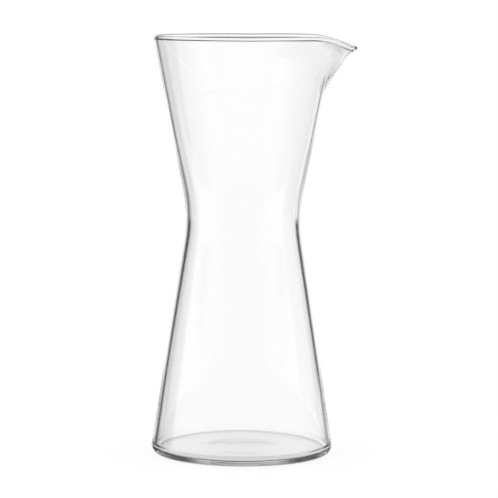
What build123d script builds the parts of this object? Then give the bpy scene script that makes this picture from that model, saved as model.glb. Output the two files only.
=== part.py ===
from build123d import *
from functools import cache
from math import asin, atan2, cos, hypot, pi, radians, sin, sqrt, tan
import os

# An hourglass carafe of clear blown glass, all one piece: a conical foot, a waist, and a conical
# mouth with one pulled pouring lip. Millimetres. +Z is up, the origin is the middle of the foot
# on the table, and the lip points along +X.

# Outline of the outside
HEIGHT = 240.0  # table to the top of the rim
FOOT_RADIUS = 52.8  # lower cone, carried down to the table
HEEL_RADIUS = 4.5  # rounding between the lower cone and the underside
WAIST_RADIUS = 32.9
WAIST_HEIGHT = 135.6
WAIST_CURVE = 84.0  # radius of the curve that joins the two cones, seen from the side
RIM_RADIUS = 52.0  # upper cone, at the top of the rim

# Thickness of the glass
FLOOR_THICKNESS = 3.4
FLOOR_CORNER = 3.0  # rounding between the floor and the wall, inside
WALL_AT_FOOT = 2.7
WALL_AT_BELLY = 2.1
BELLY_HEIGHT = 50.0  # where the lower wall is thinnest
WALL_AT_WAIST = 2.6
WALL_AT_MOUTH = 1.7
MOUTH_HEIGHT = 185.0  # from here up the wall keeps its thickness
WALL_AT_BEAK = 0.9  # the pulled glass of the beak is stretched thin
LIP_THICKNESS = 2.4  # bead of the fire-polished edge, thicker than the wall and fully round
LIP_DEPTH = 1.55  # how far below its middle the bead would run out to nothing
LIP_BLEND = 0.3  # how near bead and wall are in thickness where they melt into each other

# Underside: a faint hollow in the middle of the foot
HOLLOW_DEPTH = 0.3
HOLLOW_RADIUS = 26.0

# Pouring lip
BEAK_DEPTH = 30.0  # root of the beak, below the top of the rim
BEAK_LEAN = 34.6  # degrees from upright of the beak's front
BEAK_HALF_ANGLE = 44.0  # degrees in plan between the X axis and each flank
BEAK_NOSE_RADIUS = 5.5  # rounding of the beak's front, in plan
BEAK_BLEND = 2.5  # how near cone and beak are where they melt into each other, at the root
BEAK_BLEND_AT_RIM = 16.0
BEAK_STRETCH = 8.0  # how far the beak stands out of the cone where its wall is fully thinned
RIM_FALL = 21.0  # degrees by which the rim slopes down to the tip
RIM_FALL_INSET = 5.0  # where the slope begins, inside the rim's radius
RIM_FALL_BLEND = 8.0  # length over which the level rim bends into the slope
DRIP_FLARE = 3.2  # how far the very edge of the tip turns out, to cut off drips
DRIP_FLARE_DEPTH = 5.0

# Rings of the collar: points round each, drawn together towards the beak by this share
RING_POINTS = 60
RING_CROWDING = 0.8
COLLAR_MARGIN = 1.2  # depth of the collar, over the depth at which the beak begins to swell
LIP_STEPS = 6  # rings over the round edge
JOIN_TOLERANCE = 0.001  # the collar's rings are this near to true circles where it meets the body


def cone_lean(end_radius, height_from_waist):
    """Angle from upright of the cone that ends at end_radius and is tangent to the waist curve."""
    across = WAIST_RADIUS + WAIST_CURVE - end_radius
    return asin(WAIST_CURVE / hypot(across, height_from_waist)) - atan2(across, height_from_waist)


LOWER_LEAN = cone_lean(FOOT_RADIUS, WAIST_HEIGHT)
UPPER_LEAN = cone_lean(RIM_RADIUS, HEIGHT - WAIST_HEIGHT)
LOWER_TANGENT_HEIGHT = WAIST_HEIGHT - WAIST_CURVE * sin(LOWER_LEAN)
UPPER_TANGENT_HEIGHT = WAIST_HEIGHT + WAIST_CURVE * sin(UPPER_LEAN)
LIP_RADIUS = LIP_THICKNESS / 2
SHOULDER_HEIGHT = HEIGHT - LIP_RADIUS * (1 + sin(UPPER_LEAN))  # where the round edge starts, outside
SWELL_DEPTH = BEAK_DEPTH + BEAK_BLEND / (tan(radians(BEAK_LEAN)) - tan(UPPER_LEAN))
COLLAR_HEIGHT = HEIGHT - COLLAR_MARGIN * SWELL_DEPTH
FLOOR_CORNER_TOP = FLOOR_THICKNESS + FLOOR_CORNER * (1 + sin(LOWER_LEAN))
WALL_START_HEIGHT = FLOOR_CORNER_TOP + WALL_AT_FOOT * sin(LOWER_LEAN)  # on the outside, square across


def melted_max(a, b, width):
    """The larger of a and b, rounded by a parabola where they come nearer than width."""
    nearness = max(width - abs(a - b), 0.0) / width
    return max(a, b) + nearness**2 * width / 4


def eased(share):
    """0 to 1 with a level start and end."""
    share = min(max(share, 0.0), 1.0)
    return share**2 * (3 - 2 * share)


def spread(low, high, shares):
    return [low + (high - low) * share for share in shares]


def body_radius(height):
    """Outside radius of the plain body: a cone, the waist curve, and a cone."""
    if height < LOWER_TANGENT_HEIGHT:
        return FOOT_RADIUS - height * tan(LOWER_LEAN)
    if height > UPPER_TANGENT_HEIGHT:
        return RIM_RADIUS - (HEIGHT - height) * tan(UPPER_LEAN)
    return WAIST_RADIUS + WAIST_CURVE - sqrt(WAIST_CURVE**2 - (height - WAIST_HEIGHT) ** 2)


def beak_radius(angle, height):
    """Outside radius of the beak by itself: a round nose between two flat flanks.

    The nose slides out along the leaning front as it rises. Past the foot of each flank's
    perpendicular the radius falls away, so that the beak ends inside the body.
    """
    root_height = HEIGHT - BEAK_DEPTH
    nose_reach = body_radius(root_height) + (height - root_height) * tan(radians(BEAK_LEAN))
    nose_centre = nose_reach - BEAK_NOSE_RADIUS
    half_angle = radians(BEAK_HALF_ANGLE)
    tangent_x = nose_centre + BEAK_NOSE_RADIUS * sin(half_angle)
    tangent_y = BEAK_NOSE_RADIUS * cos(half_angle)
    angle = abs(angle)
    if angle < atan2(tangent_y, tangent_x):
        return nose_centre * cos(angle) + sqrt(BEAK_NOSE_RADIUS**2 - (nose_centre * sin(angle)) ** 2)
    flank_distance = nose_centre * sin(half_angle) + BEAK_NOSE_RADIUS
    past_foot = angle - (pi / 2 - half_angle)
    if past_foot < 0:
        return flank_distance / cos(past_foot)
    return flank_distance * cos(past_foot)


def pulled_radius(angle, height):
    """Outside radius of the body with the beak melted into it, more widely as it nears the rim."""
    above_root = max(height - HEIGHT + BEAK_DEPTH, 0.0)
    width = BEAK_BLEND + (BEAK_BLEND_AT_RIM - BEAK_BLEND) * above_root / BEAK_DEPTH
    return melted_max(body_radius(height), beak_radius(angle, height), width)


def flared_radius(angle, height, below_edge):
    """Outside radius with the drip edge, which turns out only as far as the beak stands out."""
    tip_stand = pulled_radius(0, SHOULDER_HEIGHT) - body_radius(SHOULDER_HEIGHT)
    edge_height = height + below_edge
    stand = pulled_radius(angle, edge_height) - body_radius(edge_height)
    turn_out = max(1 - below_edge / DRIP_FLARE_DEPTH, 0.0) ** 2
    return pulled_radius(angle, height) + DRIP_FLARE * stand / tip_stand * turn_out


@cache
def rim_drop(angle):
    """How far the rim has sloped down at this angle, found by stepping towards the slope."""
    fall_start = RIM_RADIUS - RIM_FALL_INSET
    drop = 0.0
    for _ in range(30):
        reach = flared_radius(angle, SHOULDER_HEIGHT - drop, 0.0) * cos(angle)
        drop = tan(radians(RIM_FALL)) * melted_max(reach - fall_start, 0.0, RIM_FALL_BLEND)
    return drop


def outside_point(angle, height):
    """A point of the outside, where height is the one that it would have under a level rim."""
    drop = rim_drop(angle)
    collar_share = max((height - COLLAR_HEIGHT) / (SHOULDER_HEIGHT - COLLAR_HEIGHT), 0.0)
    fallen = height - drop * collar_share
    radius = body_radius(fallen)
    if collar_share > 0:
        radius = flared_radius(angle, fallen, SHOULDER_HEIGHT - drop - fallen)
    return Vector(radius * cos(angle), radius * sin(angle), fallen)


def wall_directions(angle, height):
    """The outside point, the direction up the wall there, and the direction into the glass."""
    step = 1e-4
    point = outside_point(angle, height)
    round_the_wall = outside_point(angle + step, height) - outside_point(angle - step, height)
    up_the_wall = (point - outside_point(angle, height - step)).normalized()
    return point, up_the_wall, up_the_wall.cross(round_the_wall).normalized()


def wall_thickness(stand, height):
    """Thickness of the glass, square to the wall, easing between the named places.

    It thins as the beak's outside stands out of the cone, and melts into the bead at the edge.
    """
    places = [
        (WALL_START_HEIGHT, WALL_AT_FOOT),
        (BELLY_HEIGHT, WALL_AT_BELLY),
        (WAIST_HEIGHT, WALL_AT_WAIST),
        (MOUTH_HEIGHT, WALL_AT_MOUTH),
    ]
    wall = WALL_AT_FOOT
    for (low, low_wall), (high, high_wall) in zip(places, places[1:]):
        wall += (high_wall - low_wall) * eased((height - low) / (high - low))
    wall += (WALL_AT_BEAK - WALL_AT_MOUTH) * eased(stand / BEAK_STRETCH)
    below_bead = min((SHOULDER_HEIGHT - height) / LIP_DEPTH, 1.0)
    bead = LIP_THICKNESS * sqrt(1 - below_bead**2)
    return melted_max(bead, wall, LIP_BLEND)


def inside_point(angle, height):
    point, _, inward = wall_directions(angle, height)
    stand = hypot(point.X, point.Y) - body_radius(point.Z)
    return point + inward * wall_thickness(stand, height)


def lip_point(angle, turn):
    """A point of the round edge, turned from the outside (0) over the top to the inside (pi)."""
    point, up, inward = wall_directions(angle, SHOULDER_HEIGHT)
    return point + inward * LIP_RADIUS * (1 - cos(turn)) + up * LIP_RADIUS * sin(turn)


def corner_ends(floor_height, radius, wall):
    """Where a rounding between a floor and the lower cone meets both, as radius and height.

    The cone that it meets lies wall deep in the glass, so 0 gives the heel.
    """
    centre_height = floor_height + radius
    centre_radius = FOOT_RADIUS - (wall + radius) / cos(LOWER_LEAN) - centre_height * tan(LOWER_LEAN)
    on_floor = (centre_radius, floor_height)
    on_wall = (centre_radius + radius * cos(LOWER_LEAN), centre_height + radius * sin(LOWER_LEAN))
    return on_floor, on_wall


def make_body():
    """Everything below the collar, turned from its profile: radius across, height up."""
    heel_start, heel_end = corner_ends(0.0, HEEL_RADIUS, 0.0)
    corner_start, corner_end = corner_ends(FLOOR_THICKNESS, FLOOR_CORNER, WALL_AT_FOOT)
    waist_start = (body_radius(LOWER_TANGENT_HEIGHT), LOWER_TANGENT_HEIGHT)
    waist_end = (body_radius(UPPER_TANGENT_HEIGHT), UPPER_TANGENT_HEIGHT)
    collar_start = (body_radius(COLLAR_HEIGHT), COLLAR_HEIGHT)
    inside_heights = (
        spread(WALL_START_HEIGHT, LOWER_TANGENT_HEIGHT, (0.2, 0.4, 0.6, 0.8, 1.0))
        + spread(LOWER_TANGENT_HEIGHT, UPPER_TANGENT_HEIGHT, (0.25, 0.5, 0.75, 1.0))
        + spread(UPPER_TANGENT_HEIGHT, COLLAR_HEIGHT, (0.33, 0.67, 1.0))
    )
    inside = [inside_point(0.0, height) for height in inside_heights]
    inside_wall = Spline(corner_end, *[(point.X, point.Z) for point in inside])
    outline = [
        TangentArc((0, HOLLOW_DEPTH), (HOLLOW_RADIUS, 0), tangent=(1, 0)),
        Line((HOLLOW_RADIUS, 0), heel_start),
        TangentArc(heel_start, heel_end, tangent=(1, 0)),
        Line(heel_end, waist_start),
        ThreePointArc(waist_start, (WAIST_RADIUS, WAIST_HEIGHT), waist_end),
        Line(waist_end, collar_start),
        Line(collar_start, inside_wall @ 1),
        inside_wall,
        TangentArc(corner_start, corner_end, tangent=(1, 0)),
        Line(corner_start, (0, FLOOR_THICKNESS)),
        Line((0, FLOOR_THICKNESS), (0, HOLLOW_DEPTH)),
    ]
    return revolve(Plane.XZ * make_face(outline), Axis.Z).solid()


def ring_wire(ring):
    """A closed wire of two splines, one each side of the lip, that run on into each other."""
    half = RING_POINTS // 2
    marks = [float(mark) for mark in range(half + 1)]
    back_run = (ring[1] - ring[-1]) * 0.5
    front_run = (ring[half + 1] - ring[half - 1]) * 0.5
    right = Edge.make_spline(
        ring[: half + 1], tangents=[back_run, front_run], parameters=marks, scale=False
    )
    left = Edge.make_spline(
        ring[half:] + ring[:1], tangents=[front_run, back_run], parameters=marks, scale=False
    )
    return Wire([right, left])


def make_collar():
    """The mouth with its pouring lip, lofted up the outside, over the round edge and down the inside."""
    bead_start = SHOULDER_HEIGHT - LIP_DEPTH
    heights = spread(COLLAR_HEIGHT, bead_start, (0.0, 0.15, 0.3, 0.45, 0.6, 0.74, 0.86, 0.94, 1.0))
    heights += spread(bead_start, SHOULDER_HEIGHT, (0.1, 0.2, 0.28, 0.36, 0.45, 0.6, 0.8, 1.0))
    turns = [pi * step / LIP_STEPS for step in range(1, LIP_STEPS)]
    outside = [ring_wire([outside_point(angle, height) for angle in ANGLES]) for height in heights]
    edge = [ring_wire([lip_point(angle, turn) for angle in ANGLES]) for turn in turns]
    inside = [ring_wire([inside_point(angle, height) for angle in ANGLES]) for height in heights]
    walls = [
        Shell.make_loft(outside),
        Shell.make_loft([outside[-1], *edge, inside[-1]]),
        Shell.make_loft(inside),
        Shell.make_loft([outside[0], inside[0]], ruled=True),
    ]
    return Solid(Shell([face for wall in walls for face in wall.faces()]))


TURNS = [2 * pi * index / RING_POINTS - pi for index in range(RING_POINTS)]
ANGLES = [turn - RING_CROWDING * sin(turn) for turn in TURNS]

glass_vessel = make_body().fuse(make_collar(), tol=JOIN_TOLERANCE)
glass_vessel.label = "glass_vessel"

os.makedirs("parts", exist_ok=True)
export_step(glass_vessel, "parts/glass_vessel.step")
tip = glass_vessel.bounding_box().max.X
print(f"tip {tip:.2f} mm from the axis, volume {glass_vessel.volume:.0f} mm3, valid {glass_vessel.is_valid}")
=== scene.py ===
from math import asin, atan2, cos, hypot, pi, radians, sin, tan

import bpy
import numpy as np
from mathutils import Matrix, Vector


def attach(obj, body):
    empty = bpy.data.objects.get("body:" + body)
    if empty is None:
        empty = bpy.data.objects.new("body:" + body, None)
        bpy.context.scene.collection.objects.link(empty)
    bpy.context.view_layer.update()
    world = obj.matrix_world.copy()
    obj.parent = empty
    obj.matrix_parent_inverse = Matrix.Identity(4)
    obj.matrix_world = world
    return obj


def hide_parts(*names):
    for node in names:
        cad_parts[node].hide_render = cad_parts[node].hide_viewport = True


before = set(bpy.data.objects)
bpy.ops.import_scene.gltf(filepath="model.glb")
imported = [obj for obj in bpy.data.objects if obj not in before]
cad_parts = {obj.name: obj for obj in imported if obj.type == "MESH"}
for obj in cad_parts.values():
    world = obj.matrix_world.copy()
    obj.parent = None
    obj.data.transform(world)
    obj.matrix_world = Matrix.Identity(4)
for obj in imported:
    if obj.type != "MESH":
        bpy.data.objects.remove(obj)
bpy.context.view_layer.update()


# The vessel: one piece of clear, colourless glass, blown to an hourglass. Its mouth is cut,
# fire-polished to a rounded bead, and pulled out to a pouring lip while soft.
# It stands on the ring round a shallow hollow under its foot.

HEIGHT = 0.240
FOOT_RADIUS = 0.0528
HEEL_RADIUS = 0.0045
WAIST_RADIUS = 0.0329
WAIST_HEIGHT = 0.1356
WAIST_CURVE = 0.084
RIM_RADIUS = 0.052

FLOOR_THICKNESS = 0.0034
FLOOR_CORNER = 0.003
WALL_AT_FOOT = 0.0027
WALL_AT_BELLY = 0.0021
BELLY_HEIGHT = 0.050
WALL_AT_WAIST = 0.0026
WALL_AT_MOUTH = 0.0017
MOUTH_HEIGHT = 0.185
WALL_AT_BEAK = 0.0009
LIP_THICKNESS = 0.0024
LIP_DEPTH = 0.00155
LIP_BLEND = 0.0003

HOLLOW_DEPTH = 0.0003
HOLLOW_RADIUS = 0.026

BEAK_DEPTH = 0.030
BEAK_LEAN = radians(34.6)
BEAK_HALF_ANGLE = radians(44.0)
BEAK_NOSE_RADIUS = 0.0055
BEAK_BLEND = 0.0025
BEAK_BLEND_AT_RIM = 0.016
BEAK_STRETCH = 0.008
RIM_FALL = radians(21.0)
RIM_FALL_INSET = 0.005
RIM_FALL_BLEND = 0.008
RIM_FALL_ROUNDS = 30
DRIP_FLARE = 0.0032
DRIP_FLARE_DEPTH = 0.005
COLLAR_MARGIN = 1.2


def cone_lean(end_radius, height_from_waist):
    """Angle from upright of the line through the cone's end that touches the waist's circle."""
    across = WAIST_RADIUS + WAIST_CURVE - end_radius
    return asin(WAIST_CURVE / hypot(across, height_from_waist)) - atan2(across, height_from_waist)


LOWER_LEAN = cone_lean(FOOT_RADIUS, WAIST_HEIGHT)
UPPER_LEAN = cone_lean(RIM_RADIUS, HEIGHT - WAIST_HEIGHT)
LIP_RADIUS = LIP_THICKNESS / 2
SHOULDER_HEIGHT = HEIGHT - LIP_RADIUS * (1 + sin(UPPER_LEAN))
SWELL_DEPTH = BEAK_DEPTH + BEAK_BLEND / (tan(BEAK_LEAN) - tan(UPPER_LEAN))
COLLAR_HEIGHT = HEIGHT - COLLAR_MARGIN * SWELL_DEPTH
FLOOR_CORNER_TOP = FLOOR_THICKNESS + FLOOR_CORNER * (1 + sin(LOWER_LEAN))
WALL_START_HEIGHT = FLOOR_CORNER_TOP + WALL_AT_FOOT * sin(LOWER_LEAN)


def melted_max(a, b, width):
    """The larger of a and b, plus a parabola of width / 4 at most where they nearly meet."""
    nearness = np.maximum(width - np.abs(a - b), 0.0) / width
    return np.maximum(a, b) + nearness**2 * width / 4


def eased(share):
    """3s^2 - 2s^3 between 0 and 1: a step with a level start and end."""
    share = np.clip(share, 0.0, 1.0)
    return share**2 * (3 - 2 * share)


def body_radius(height):
    """A cone, then the waist's circle, then a cone, each tangent to the next."""
    from_waist = height - WAIST_HEIGHT
    curve_span = np.clip(from_waist, -WAIST_CURVE * sin(LOWER_LEAN), WAIST_CURVE * sin(UPPER_LEAN))
    waist = WAIST_RADIUS + WAIST_CURVE - np.sqrt(WAIST_CURVE**2 - curve_span**2)
    beyond = from_waist - curve_span
    return waist + np.where(beyond > 0, tan(UPPER_LEAN), -tan(LOWER_LEAN)) * beyond


def beak_radius(angle, height):
    """Polar radius of a round nose between two flat flanks, falling away past each flank's foot."""
    root_height = HEIGHT - BEAK_DEPTH
    nose_tip = body_radius(root_height) + (height - root_height) * tan(BEAK_LEAN)
    nose_centre = nose_tip - BEAK_NOSE_RADIUS
    tangent_x = nose_centre + BEAK_NOSE_RADIUS * sin(BEAK_HALF_ANGLE)
    tangent_angle = np.arctan2(BEAK_NOSE_RADIUS * cos(BEAK_HALF_ANGLE), tangent_x)
    angle = np.abs(angle)
    across = np.minimum(np.abs(nose_centre * np.sin(angle)), BEAK_NOSE_RADIUS)
    nose = nose_centre * np.cos(angle) + np.sqrt(BEAK_NOSE_RADIUS**2 - across**2)
    flank_distance = nose_centre * sin(BEAK_HALF_ANGLE) + BEAK_NOSE_RADIUS
    past_foot = angle - (pi / 2 - BEAK_HALF_ANGLE)
    flank = flank_distance / np.cos(np.minimum(past_foot, 0.0))
    flank = np.where(past_foot < 0, flank, flank_distance * np.cos(past_foot))
    return np.where(angle < tangent_angle, nose, flank)


def pulled_radius(angle, height):
    """The melted maximum of the body and the beak, melted wider as it nears the rim."""
    above_root = np.maximum(height - HEIGHT + BEAK_DEPTH, 0.0)
    width = BEAK_BLEND + (BEAK_BLEND_AT_RIM - BEAK_BLEND) * above_root / BEAK_DEPTH
    return melted_max(body_radius(height), beak_radius(angle, height), width)


def flared_radius(angle, height, below_edge):
    """The pulled radius, plus the drip edge: a parabola that dies away below the edge.

    It turns out in the measure that the beak stands out of the cone at that angle.
    """
    tip_stand = pulled_radius(0.0, SHOULDER_HEIGHT) - body_radius(SHOULDER_HEIGHT)
    edge_height = height + below_edge
    stand = pulled_radius(angle, edge_height) - body_radius(edge_height)
    turn_out = np.maximum(1 - below_edge / DRIP_FLARE_DEPTH, 0.0) ** 2
    return pulled_radius(angle, height) + DRIP_FLARE * stand / tip_stand * turn_out


def rim_drop(angle):
    """Fall of the rim: the slope times how far the edge reaches past the start of the slope.

    The reach depends on the fall, so the sum is repeated until it settles.
    """
    drop = np.zeros_like(angle)
    for _ in range(RIM_FALL_ROUNDS):
        reach = flared_radius(angle, SHOULDER_HEIGHT - drop, 0.0) * np.cos(angle)
        past_start = melted_max(reach - RIM_RADIUS + RIM_FALL_INSET, 0.0, RIM_FALL_BLEND)
        drop = tan(RIM_FALL) * past_start
    return drop


def outside_surface(angle, height):
    """Points of the outside; above the collar's foot the heights sink with the falling rim."""
    drop = rim_drop(angle)
    collar_share = np.maximum((height - COLLAR_HEIGHT) / (SHOULDER_HEIGHT - COLLAR_HEIGHT), 0.0)
    fallen = height - drop * collar_share
    flared = flared_radius(angle, fallen, SHOULDER_HEIGHT - drop - fallen)
    radius = np.where(collar_share > 0, flared, body_radius(fallen))
    return np.stack([radius * np.cos(angle), radius * np.sin(angle), fallen], axis=-1)


def unit(vectors):
    """Each vector divided by its own length."""
    return vectors / np.linalg.norm(vectors, axis=-1, keepdims=True)


def wall_directions(angle, height):
    """Outside points, with unit vectors up the wall and square into the glass.

    Both come from the differences to points a small step away.
    """
    step = 1e-6
    point = outside_surface(angle, height)
    round_the_wall = outside_surface(angle + step, height) - outside_surface(angle - step, height)
    up_the_wall = unit(point - outside_surface(angle, height - step))
    return point, up_the_wall, unit(np.cross(up_the_wall, round_the_wall))


def wall_thickness(stand, height):
    """Eased steps from foot to belly to waist to mouth, and thinner where the beak stands out.

    The wall melts into the edge's bead, a half ellipse: thickness times sqrt(1 - depth^2).
    """
    places = [
        (WALL_START_HEIGHT, WALL_AT_FOOT),
        (BELLY_HEIGHT, WALL_AT_BELLY),
        (WAIST_HEIGHT, WALL_AT_WAIST),
        (MOUTH_HEIGHT, WALL_AT_MOUTH),
    ]
    wall = np.full_like(height, WALL_AT_FOOT)
    for (low, low_wall), (high, high_wall) in zip(places, places[1:]):
        wall = wall + (high_wall - low_wall) * eased((height - low) / (high - low))
    wall = wall + (WALL_AT_BEAK - WALL_AT_MOUTH) * eased(stand / BEAK_STRETCH)
    below_bead = np.minimum((SHOULDER_HEIGHT - height) / LIP_DEPTH, 1.0)
    bead = LIP_THICKNESS * np.sqrt(1 - below_bead**2)
    return melted_max(bead, wall, LIP_BLEND)


def turned_rows(radii, heights, angle):
    """Level circles: every radius and height, carried round the axis."""
    radii = radii[:, None]
    heights = heights[:, None] + 0 * angle
    return np.stack([radii * np.cos(angle), radii * np.sin(angle), heights], axis=-1)


def corner_rows(floor_height, corner_radius, wall, steps, angle):
    """A rounding from a floor up to the lower cone: an arc of a quarter turn plus the lean."""
    centre_height = floor_height + corner_radius
    centre_radius = (
        FOOT_RADIUS - (wall + corner_radius) / cos(LOWER_LEAN) - centre_height * tan(LOWER_LEAN)
    )
    turn = np.linspace(0, pi / 2 + LOWER_LEAN, steps)
    radii = centre_radius + corner_radius * np.sin(turn)
    return turned_rows(radii, centre_height - corner_radius * np.cos(turn), angle)


def rows_after(start, end, count):
    """Evenly spaced values, from one step past the start to the end."""
    return np.linspace(start, end, count + 1)[1:]


HOLLOW_ROWS = 14
HEEL_ROWS = 15
BELLY_ROWS = 19
BODY_ROWS = 44
COLLAR_ROWS = 49
LIP_ROWS = 24
BEAD_ROWS = 15
FLOOR_CORNER_ROWS = 12
FLOOR_ROWS = 10


def vessel_rows(angle):
    """All rows of the skin: hollow, heel, outside, bead, inside, floor corner, floor."""
    hollow_share = rows_after(0, 1, HOLLOW_ROWS)
    hollow_heights = HOLLOW_DEPTH * (1 - hollow_share**2)
    hollow = turned_rows(HOLLOW_RADIUS * hollow_share, hollow_heights, angle)
    heel = corner_rows(0.0, HEEL_RADIUS, 0.0, HEEL_ROWS, angle)

    heel_top = HEEL_RADIUS * (1 + sin(LOWER_LEAN))
    bead_start = SHOULDER_HEIGHT - LIP_DEPTH
    shared_heights = [
        rows_after(BELLY_HEIGHT, COLLAR_HEIGHT, BODY_ROWS),
        rows_after(COLLAR_HEIGHT, bead_start, COLLAR_ROWS),
        rows_after(bead_start, SHOULDER_HEIGHT, LIP_ROWS),
    ]
    outside_heights = np.concatenate(
        [rows_after(heel_top, BELLY_HEIGHT, BELLY_ROWS), *shared_heights]
    )
    inside_heights = np.concatenate(
        [rows_after(WALL_START_HEIGHT, BELLY_HEIGHT, BELLY_ROWS), *shared_heights]
    )
    outside, _, _ = wall_directions(angle, outside_heights[:, None])

    shoulder, up, inward = wall_directions(angle, np.array([[SHOULDER_HEIGHT]]))
    turn = np.linspace(0, pi, BEAD_ROWS + 2)[1:-1, None, None]
    bead = shoulder + LIP_RADIUS * (inward * (1 - np.cos(turn)) + up * np.sin(turn))

    behind, _, inward = wall_directions(angle, inside_heights[:, None])
    stand = np.hypot(behind[..., 0], behind[..., 1]) - body_radius(behind[..., 2])
    inside = behind + inward * wall_thickness(stand, inside_heights[:, None])[..., None]
    corner = corner_rows(FLOOR_THICKNESS, FLOOR_CORNER, WALL_AT_FOOT, FLOOR_CORNER_ROWS, angle)
    floor_radii = np.linspace(1, 0, FLOOR_ROWS + 2)[1:-1] * hypot(*corner[0, 0, :2])
    floor = turned_rows(floor_radii, np.full(FLOOR_ROWS, FLOOR_THICKNESS), angle)
    return np.concatenate([hollow, heel, outside, bead, inside[::-1], corner[::-1], floor])


def grid_mesh(name, rows, first_pole, last_pole):
    """A skin of quads between the rows, closed round, with a fan to a point at each end."""
    row_count, round_count = rows.shape[:2]
    points = np.concatenate([rows.reshape(-1, 3), [first_pole, last_pole]])
    here = np.arange(round_count)
    after = (here + 1) % round_count
    starts = np.arange(row_count - 1)[:, None] * round_count
    quads = np.stack(
        [starts + here, starts + after, starts + after + round_count, starts + here + round_count],
        axis=-1,
    ).reshape(-1, 4)
    first = row_count * round_count
    last_row = (row_count - 1) * round_count
    fans = np.concatenate(
        [
            np.stack([np.full(round_count, first), after, here], axis=-1),
            np.stack([np.full(round_count, first + 1), last_row + here, last_row + after], axis=-1),
        ]
    )
    mesh = bpy.data.meshes.new(name)
    mesh.vertices.add(len(points))
    mesh.vertices.foreach_set("co", points.ravel())
    mesh.loops.add(quads.size + fans.size)
    mesh.loops.foreach_set("vertex_index", np.concatenate([quads.ravel(), fans.ravel()]))
    sizes = np.concatenate([np.full(len(quads), 4), np.full(len(fans), 3)])
    mesh.polygons.add(len(sizes))
    mesh.polygons.foreach_set("loop_start", np.concatenate([[0], np.cumsum(sizes)[:-1]]))
    mesh.polygons.foreach_set("loop_total", sizes)
    mesh.update(calc_edges=True)
    mesh.validate()
    mesh.shade_smooth()
    return mesh


ROUND_COUNT = 288
BEAK_CROWDING = 0.78
round_turns = np.linspace(-pi, pi, ROUND_COUNT, endpoint=False)
round_angles = (round_turns - BEAK_CROWDING * np.sin(round_turns))[None, :]
vessel_mesh = grid_mesh(
    "glass_vessel_skin", vessel_rows(round_angles), (0, 0, HOLLOW_DEPTH), (0, 0, FLOOR_THICKNESS)
)
vessel = bpy.data.objects.new("glass_vessel_skin", vessel_mesh)
bpy.context.collection.objects.link(vessel)

# Clear glass: smooth and hard, with a faint unevenness left by the blowing and a trace of green,
# which shows only where the light runs a long way through it, as in the floor and the heel.

GLASS_IOR = 1.52
GLASS_TINT = (0.45, 0.88, 0.66, 1.0)
GLASS_TINT_DENSITY = 0.4
GLASS_ROUGHEST = 0.012
RIPPLE_SCALE = 28.0
RIPPLE_DETAIL = 1.0
RIPPLE_HEIGHT = 0.0001
RIPPLE_STRENGTH = 0.5


def cleared_tree(owner):
    """The nodes and the links of a material or a world, emptied."""
    owner.use_nodes = True
    owner.node_tree.nodes.clear()
    return owner.node_tree.nodes, owner.node_tree.links


glass = bpy.data.materials.new("clear_blown_glass")
nodes, links = cleared_tree(glass)
output = nodes.new("ShaderNodeOutputMaterial")
shader = nodes.new("ShaderNodeBsdfPrincipled")
shader.inputs["Base Color"].default_value = (1.0, 1.0, 1.0, 1.0)
shader.inputs["Transmission Weight"].default_value = 1.0
shader.inputs["IOR"].default_value = GLASS_IOR
links.new(shader.outputs["BSDF"], output.inputs["Surface"])
tint = nodes.new("ShaderNodeVolumeAbsorption")
tint.inputs["Color"].default_value = GLASS_TINT
tint.inputs["Density"].default_value = GLASS_TINT_DENSITY
links.new(tint.outputs["Volume"], output.inputs["Volume"])

place = nodes.new("ShaderNodeTexCoord")
blowing = nodes.new("ShaderNodeTexNoise")
blowing.inputs["Scale"].default_value = RIPPLE_SCALE
blowing.inputs["Detail"].default_value = RIPPLE_DETAIL
links.new(place.outputs["Object"], blowing.inputs["Vector"])
ripple = nodes.new("ShaderNodeBump")
ripple.inputs["Strength"].default_value = RIPPLE_STRENGTH
ripple.inputs["Distance"].default_value = RIPPLE_HEIGHT
links.new(blowing.outputs["Fac"], ripple.inputs["Height"])
links.new(ripple.outputs["Normal"], shader.inputs["Normal"])
polish = nodes.new("ShaderNodeMapRange")
polish.inputs["To Min"].default_value = 0.0
polish.inputs["To Max"].default_value = GLASS_ROUGHEST
links.new(blowing.outputs["Fac"], polish.inputs["Value"])
links.new(polish.outputs["Result"], shader.inputs["Roughness"])
vessel_mesh.materials.append(glass)

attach(vessel, "root")
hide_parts("glass_vessel")


# The table: a round white board, wider than the carafe's shadow, that the carafe stands on.
# Seen straight it keeps a pale shadow. The glass sees it only under the foot, where a grey glow of
# fixed strength is a painted shadow of the foot; past the foot the glass looks through it to the
# studio's own table.

BOARD_RADIUS = 0.30
BOARD_CORNERS = 128
BOARD_GAP = 0.0002
BOARD_LEVEL = 1.02
BOARD_SHADE = 0.15
UNDER_FOOT_RADIUS = 0.052
# Strength of the painted shadow under the foot: a grey glow that only the glass sees.
PAINTED_FOOT_SHADOW_LEVEL = 0.69
board_turns = np.linspace(0, 2 * pi, BOARD_CORNERS, endpoint=False)
board_points = np.stack(
    [
        BOARD_RADIUS * np.cos(board_turns),
        BOARD_RADIUS * np.sin(board_turns),
        np.full(BOARD_CORNERS, -BOARD_GAP),
    ],
    axis=-1,
)
board_mesh = bpy.data.meshes.new("board")
board_mesh.from_pydata(board_points.tolist(), [], [list(range(len(board_points)))])
board = bpy.data.objects.new("board", board_mesh)
bpy.context.collection.objects.link(board)


def math_node(operation, *values):
    """A Math node in the tree at hand; each value is a number or another node's output."""
    node = nodes.new("ShaderNodeMath")
    node.operation = operation
    for socket, value in zip(node.inputs, values):
        if isinstance(value, (int, float)):
            socket.default_value = value
        else:
            links.new(value, socket)
    return node.outputs[0]


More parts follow.
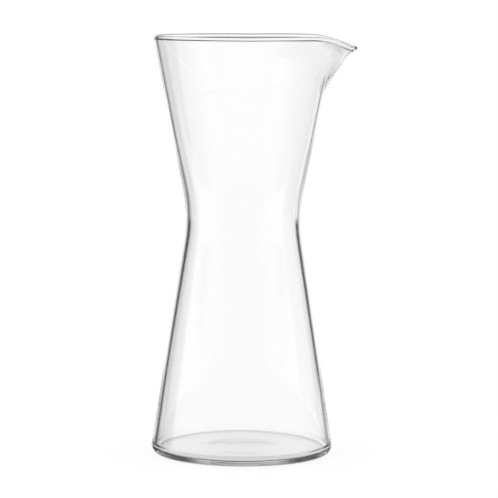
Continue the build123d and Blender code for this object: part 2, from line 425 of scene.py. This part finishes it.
board_paint = bpy.data.materials.new("white_board")
nodes, links = cleared_tree(board_paint)
output = nodes.new("ShaderNodeOutputMaterial")
matt = nodes.new("ShaderNodeBsdfDiffuse")
matt.inputs["Color"].default_value = (BOARD_SHADE, BOARD_SHADE, BOARD_SHADE, 1.0)
glow = nodes.new("ShaderNodeEmission")
glow.inputs["Strength"].default_value = BOARD_LEVEL - BOARD_SHADE
both = nodes.new("ShaderNodeAddShader")
links.new(matt.outputs["BSDF"], both.inputs[0])
links.new(glow.outputs["Emission"], both.inputs[1])
# Painted shadow: under the foot the glass sees a fixed grey glow in place of the foot's real shade.
painted_foot_shadow = nodes.new("ShaderNodeEmission")
painted_foot_shadow.inputs["Strength"].default_value = PAINTED_FOOT_SHADOW_LEVEL
clear = nodes.new("ShaderNodeBsdfTransparent")
rays = nodes.new("ShaderNodeLightPath")
by_glass = math_node("MAXIMUM", rays.outputs["Is Glossy Ray"], rays.outputs["Is Transmission Ray"])
place = nodes.new("ShaderNodeTexCoord")
from_axis = nodes.new("ShaderNodeVectorMath")
from_axis.operation = "LENGTH"
links.new(place.outputs["Object"], from_axis.inputs[0])
past_foot = math_node("GREATER_THAN", from_axis.outputs["Value"], UNDER_FOOT_RADIUS)
through_glass = nodes.new("ShaderNodeMixShader")
links.new(past_foot, through_glass.inputs["Fac"])
links.new(painted_foot_shadow.outputs["Emission"], through_glass.inputs[1])
links.new(clear.outputs["BSDF"], through_glass.inputs[2])
seen = nodes.new("ShaderNodeMixShader")
links.new(by_glass, seen.inputs["Fac"])
links.new(both.outputs["Shader"], seen.inputs[1])
links.new(through_glass.outputs["Shader"], seen.inputs[2])
links.new(seen.outputs["Shader"], output.inputs["Surface"])
board_mesh.materials.append(board_paint)


# The studio, as the glass sees it: a white backdrop between two black cards, white walls, a bright
# low cloth on the right and a dim one on the left, a grey front, a dark ceiling and a white table
# with a dark near part. Seen straight it is plain white. Each span is where one level turns into
# the next: angles round from the backdrop's middle, or heights as the sine of the elevation.

RIGHT_CARD_EDGE = (radians(15.5), radians(31.5))
LEFT_CARD_EDGE = (radians(14), radians(31))
CARD_LEVEL = 0.04
RIGHT_WALL_EDGE = (radians(34), radians(56))
RIGHT_WALL_LEVEL = 0.94
LEFT_WALL_EDGE = (radians(72), radians(82))
LEFT_WALL_LEVEL = 0.97
WALL_TOP = (0.095, 0.18)
WALL_TOP_END = (radians(80), radians(130))
RIGHT_CLOTH_EDGE = (radians(25.5), radians(35.5))
RIGHT_CLOTH_LEVEL = 0.95
LEFT_CLOTH_EDGE = (radians(29), radians(39))
LEFT_CLOTH_LEVEL = 0.42
CLOTH_TOP = (-0.12, -0.06)
FRONT_EDGE = (radians(103), radians(163))
FRONT_LEVEL = 0.65
FRONT_LOW_LEVEL = 0.82
FRONT_LOW_TOP = (-0.5, 0.15)
FRONT_HIGH_LEVEL = 1.0
FRONT_HIGH_FOOT = (0.2, 0.3)
CEILING_FOOT = (0.315, 0.345)
CEILING_LEVEL = 0.08
TABLE_TOP = (-0.36, -0.32)
TABLE_END = (radians(70), radians(80))
NEAR_TABLE_TOP = (-0.52, -0.44)
NEAR_TABLE_RIGHT_END = (radians(50), radians(64))
NEAR_TABLE_LEFT_END = (radians(22), radians(37))
NEAR_TABLE_LEVEL = 0.1
world = bpy.data.worlds.new("studio")
bpy.context.scene.world = world
nodes, links = cleared_tree(world)


def step_over(value, span, level_before, level_after):
    """A smooth step from one level to the other while the value crosses the span."""
    node = nodes.new("ShaderNodeMapRange")
    node.interpolation_type = "SMOOTHSTEP"
    node.inputs["From Min"].default_value = span[0]
    node.inputs["From Max"].default_value = span[1]
    node.inputs["To Min"].default_value = level_before
    node.inputs["To Max"].default_value = level_after
    links.new(value, node.inputs["Value"])
    return node.outputs["Result"]


parts = nodes.new("ShaderNodeSeparateXYZ")
links.new(nodes.new("ShaderNodeTexCoord").outputs["Generated"], parts.inputs["Vector"])
up = parts.outputs["Z"]
to_right = math_node("ARCTAN2", parts.outputs["X"], parts.outputs["Y"])
to_left = math_node("MULTIPLY", to_right, -1.0)
aside = math_node("ABSOLUTE", to_right)

backdrop = math_node(
    "MINIMUM",
    step_over(to_right, RIGHT_CARD_EDGE, 1.0, CARD_LEVEL),
    step_over(to_left, LEFT_CARD_EDGE, 1.0, CARD_LEVEL),
)
walls = math_node(
    "MULTIPLY",
    math_node(
        "MAXIMUM",
        step_over(to_right, RIGHT_WALL_EDGE, 0.0, RIGHT_WALL_LEVEL),
        step_over(to_left, LEFT_WALL_EDGE, 0.0, LEFT_WALL_LEVEL),
    ),
    math_node(
        "MAXIMUM", step_over(up, WALL_TOP, 1.0, 0.0), step_over(aside, WALL_TOP_END, 0.0, 1.0)
    ),
)
cloths = math_node(
    "MULTIPLY",
    math_node(
        "MAXIMUM",
        step_over(to_right, RIGHT_CLOTH_EDGE, 0.0, RIGHT_CLOTH_LEVEL),
        step_over(to_left, LEFT_CLOTH_EDGE, 0.0, LEFT_CLOTH_LEVEL),
    ),
    step_over(up, CLOTH_TOP, 1.0, 0.0),
)
behind = math_node("MAXIMUM", backdrop, math_node("MAXIMUM", walls, cloths))
behind = math_node("MULTIPLY", behind, step_over(up, CEILING_FOOT, 1.0, CEILING_LEVEL))
behind = math_node("MULTIPLY", behind, step_over(aside, FRONT_EDGE, 1.0, 0.0))
front = math_node(
    "ADD",
    step_over(up, FRONT_LOW_TOP, FRONT_LOW_LEVEL, FRONT_LEVEL),
    step_over(up, FRONT_HIGH_FOOT, 0.0, FRONT_HIGH_LEVEL - FRONT_LEVEL),
)
front = math_node("MULTIPLY", front, step_over(aside, FRONT_EDGE, 0.0, 1.0))
table = math_node(
    "MULTIPLY", step_over(up, TABLE_TOP, 1.0, 0.0), step_over(aside, TABLE_END, 1.0, 0.0)
)
around = math_node("MAXIMUM", math_node("ADD", behind, front), table)
near_table = math_node(
    "MULTIPLY",
    step_over(to_right, NEAR_TABLE_RIGHT_END, 1.0, 0.0),
    step_over(to_left, NEAR_TABLE_LEFT_END, 1.0, 0.0),
)
near_table = math_node(
    "MULTIPLY", near_table, step_over(up, NEAR_TABLE_TOP, 1 - NEAR_TABLE_LEVEL, 0.0)
)
seen_by_glass = math_node("MULTIPLY", around, math_node("SUBTRACT", 1.0, near_table))
rays = nodes.new("ShaderNodeLightPath")
by_glass = math_node("MAXIMUM", rays.outputs["Is Glossy Ray"], rays.outputs["Is Transmission Ray"])
dimming = math_node("MULTIPLY", by_glass, math_node("SUBTRACT", 1.0, seen_by_glass))
light = nodes.new("ShaderNodeBackground")
light.inputs["Color"].default_value = (1.0, 1.0, 1.0, 1.0)
links.new(math_node("SUBTRACT", 1.0, dimming), light.inputs["Strength"])
world_output = nodes.new("ShaderNodeOutputWorld")
links.new(light.outputs["Background"], world_output.inputs["Surface"])


# The camera: a long lens, a little above the rim, looking slightly down across the carafe
# with the lip to its right.

CAMERA_DISTANCE = 1.5309
CAMERA_HEIGHT = 0.27297
CAMERA_PITCH = radians(5.79)
CAMERA_ROLL = radians(0.383)
FRAME_PIXELS = 498
FOCAL_PIXELS = 2680.5
OFFSET_PIXELS = 6.12
SENSOR_WIDTH = 36.0
NEAREST_SEEN = 0.01
camera_data = bpy.data.cameras.new("camera")
camera_data.sensor_width = SENSOR_WIDTH
camera_data.lens = FOCAL_PIXELS / FRAME_PIXELS * SENSOR_WIDTH
camera_data.shift_x = OFFSET_PIXELS / FRAME_PIXELS
camera_data.clip_start = NEAREST_SEEN
camera = bpy.data.objects.new("camera", camera_data)
bpy.context.collection.objects.link(camera)
forward = Vector((0, cos(CAMERA_PITCH), -sin(CAMERA_PITCH)))
level = Vector((1, 0, 0))
upward = level.cross(forward)
right = level * cos(CAMERA_ROLL) + upward * sin(CAMERA_ROLL)
over = upward * cos(CAMERA_ROLL) - level * sin(CAMERA_ROLL)
turning = Matrix((right, over, -forward)).transposed().to_4x4()
camera.matrix_world = Matrix.Translation((0, -CAMERA_DISTANCE, CAMERA_HEIGHT)) @ turning
bpy.context.scene.camera = camera
bpy.context.scene.view_settings.view_transform = "Standard"

# Light is thrown to and fro inside the heel many times before it leaves the glass.

LIGHT_BOUNCES = 40
light_paths = bpy.context.scene.cycles
light_paths.max_bounces = LIGHT_BOUNCES
light_paths.glossy_bounces = LIGHT_BOUNCES
light_paths.transmission_bounces = LIGHT_BOUNCES
